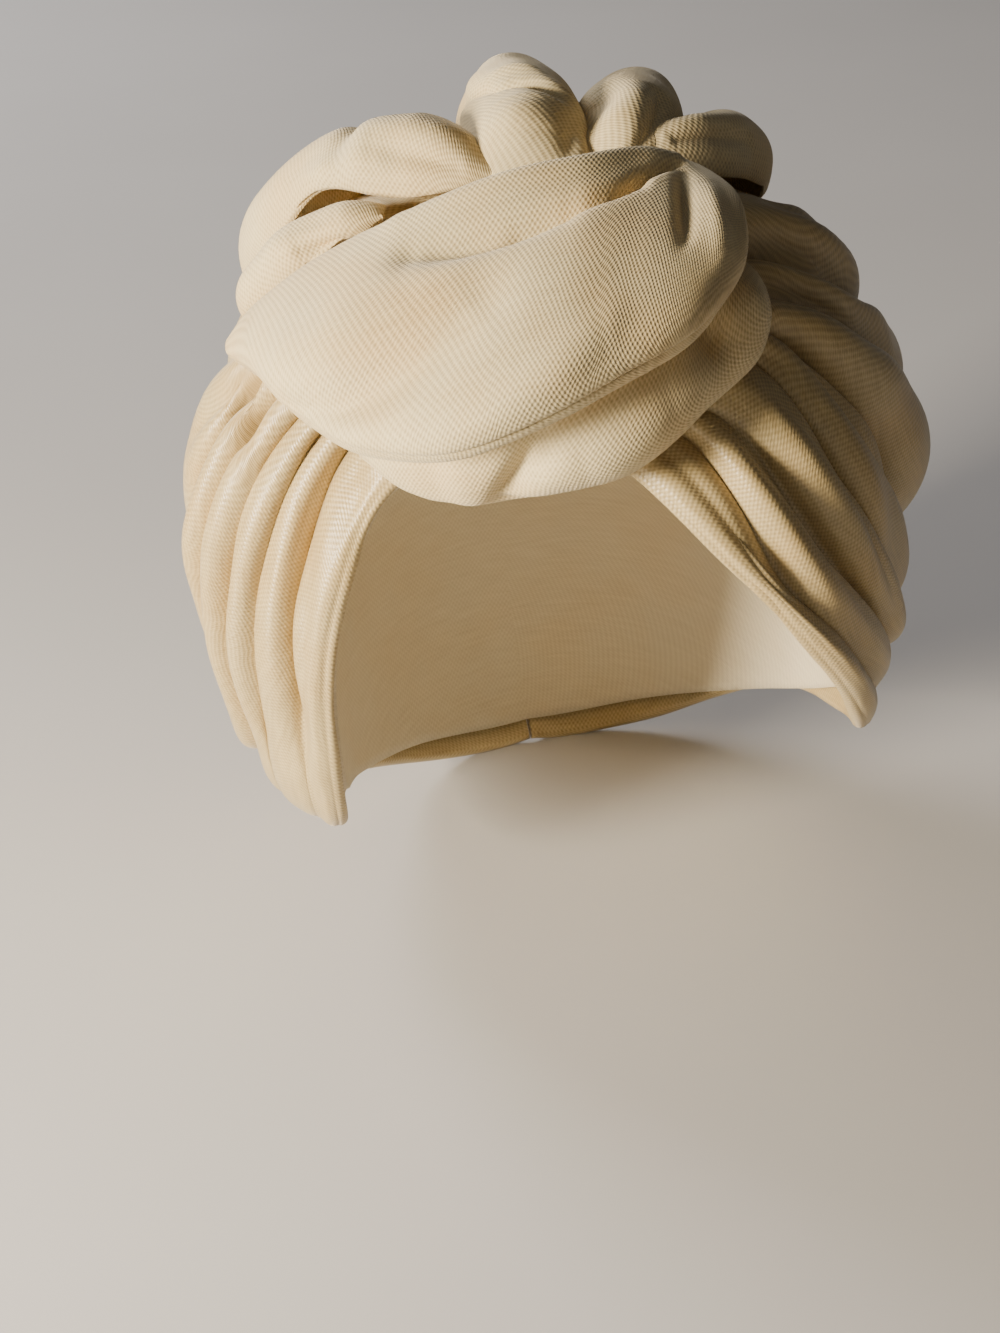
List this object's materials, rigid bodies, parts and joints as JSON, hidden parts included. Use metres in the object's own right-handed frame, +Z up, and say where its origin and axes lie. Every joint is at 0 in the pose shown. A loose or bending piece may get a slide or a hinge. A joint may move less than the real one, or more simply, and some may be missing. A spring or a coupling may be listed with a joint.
{
  "type": "turban headwrap",
  "caption": "Pleated crepe turban whose side wraps and tall crown folds are gathered under a two-lobed knot at the front, on a close cap that sits on the head.",
  "frame": {"origin": "where the top of the wearer's head touches the inside of the cap", "axes": "+Z up; the wearer looks along -Y, so the knot is at -Y; +X is the wearer's left"},
  "size_m": [0.2258, 0.2252, 0.2559],
  "materials": {
    "crepe": "cream crepe in a fine basket weave, matte with a soft sheen on the folds",
    "cap_cloth": "plain cream cloth of the inner cap, matte"
  },
  "bodies": {
    "root": {"close_cap": "cap_cloth", "right_side_wrap": "crepe", "left_side_wrap": "crepe", "crown_wrap": "crepe", "crown_roll_right": "crepe", "crown_loop_right": "crepe", "crown_loop_centre": "crepe", "crown_loop_left": "crepe", "crown_roll_left": "crepe", "knot_upper_lobe": "crepe", "knot_lower_lobe": "crepe"}
  },
  "joints": []
}
